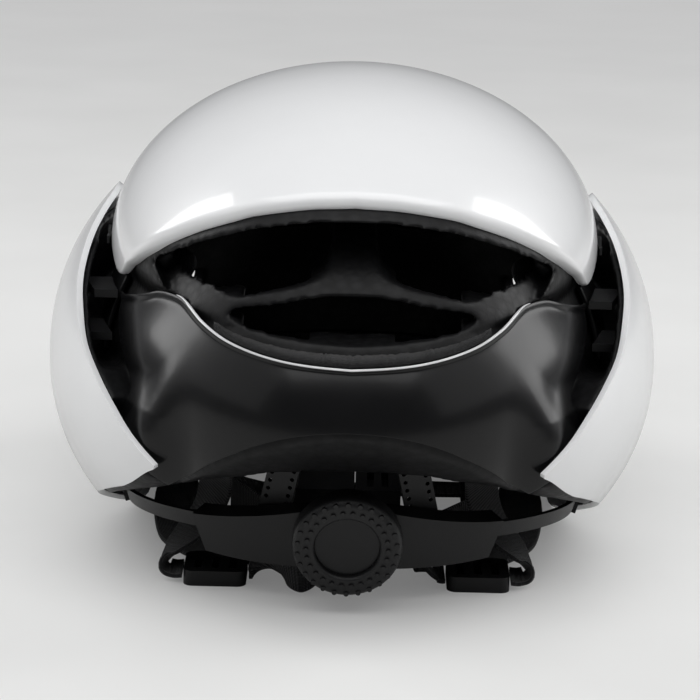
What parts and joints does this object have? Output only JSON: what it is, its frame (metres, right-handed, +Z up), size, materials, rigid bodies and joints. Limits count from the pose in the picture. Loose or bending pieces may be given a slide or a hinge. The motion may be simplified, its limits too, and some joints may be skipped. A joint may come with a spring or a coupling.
{
  "type": "aero cycling helmet",
  "caption": "Aero helmet: white crown and side wings over a black rear shell with exhaust, foam core and pads, dial-adjusted cradle, webbing and chin buckle.",
  "frame": {"origin": "on the resting plane, under the middle of the helmet's bounding box", "axes": "+X to the wearer's right, +Y to the front, +Z up"},
  "size_m": [0.2058, 0.2535, 0.154],
  "materials": {
    "white_shell": "gloss",
    "black_shell": "gloss",
    "foam": "fine beaded foam",
    "vent_trim": "satin",
    "pad": "knitted",
    "fastener": "hook and loop",
    "cradle": "satin",
    "pin": "brushed",
    "dial": "soft grip",
    "gear": "plain",
    "webbing": "woven",
    "buckle": "semi-gloss",
    "keeper": "plain"
  },
  "bodies": {
    "helmet": {"upper_shell": "white_shell", "rear_shell": "black_shell", "wing_right": "white_shell", "wing_left": "white_shell", "brow_bar": "white_shell", "foam_core": "foam", "vent_liner_right": "vent_trim", "vent_liner_left": "vent_trim", "vent_ribs_right": "vent_trim", "vent_ribs_left": "vent_trim", "brow_pad": "pad", "crown_pad_centre": "pad", "crown_pad_right": "pad", "crown_pad_left": "pad", "exhaust_seal": "pad", "pad_fasteners": "fastener", "temple_anchor_right": "cradle", "temple_anchor_left": "cradle", "temple_pin_right": "pin", "temple_pin_left": "pin", "height_guide_right": "cradle", "height_guide_left": "cradle", "strap_anchors": "cradle", "strap_rear_right": "webbing", "strap_rear_left": "webbing", "strap_front_right": "webbing", "strap_front_left": "webbing", "divider_right": "buckle", "divider_left": "buckle", "chin_strap_right": "webbing", "chin_strap_left": "webbing", "buckle_socket": "buckle", "strap_keeper": "keeper"},
    "cradle": {"cradle_housing": "cradle", "cradle_cover": "cradle", "height_strip_right": "cradle", "height_strip_left": "cradle", "temple_guide_right": "cradle", "temple_guide_left": "cradle"},
    "dial": {"dial_knob": "dial", "dial_cap": "cradle", "dial_pinion": "gear", "detent_ring": "gear"},
    "band_right": {"band_right": "cradle"},
    "band_left": {"band_left": "cradle"},
    "clip": {"buckle_clip": "buckle"}
  },
  "joints": [
    {"name": "cradle_tilt", "type": "hinge", "parent": "helmet", "child": "cradle", "pos_m": [0, 0.025, 0.02], "axis": [-1, 0, 0], "range_deg": [-2, 5]},
    {"name": "dial_turn", "type": "hinge", "parent": "cradle", "child": "dial", "pos_m": [0, -0.09327, 0.02504], "axis": [0, -0.9848, -0.1736], "range_deg": [-140, 140]},
    {"name": "band_right_slide", "type": "hinge", "parent": "cradle", "child": "band_right", "pos_m": [0, -0.019, 0.0146], "axis": [0, 0.1392, 0.9903], "range_deg": [-6, 6]},
    {"name": "band_left_slide", "type": "hinge", "parent": "cradle", "child": "band_left", "pos_m": [0, -0.019, 0.0146], "axis": [0, 0.1392, 0.9903], "range_deg": [-6.2, 6.2]},
    {"name": "clip_slide", "type": "slide", "parent": "helmet", "child": "clip", "axis": [1, 0, 0], "range_m": [0, 0.02]}
  ],
  "couplings": [
    {"joint": "band_right_slide", "follows": "dial_turn", "ratio": -0.042111},
    {"joint": "band_left_slide", "follows": "dial_turn", "ratio": 0.043237}
  ]
}
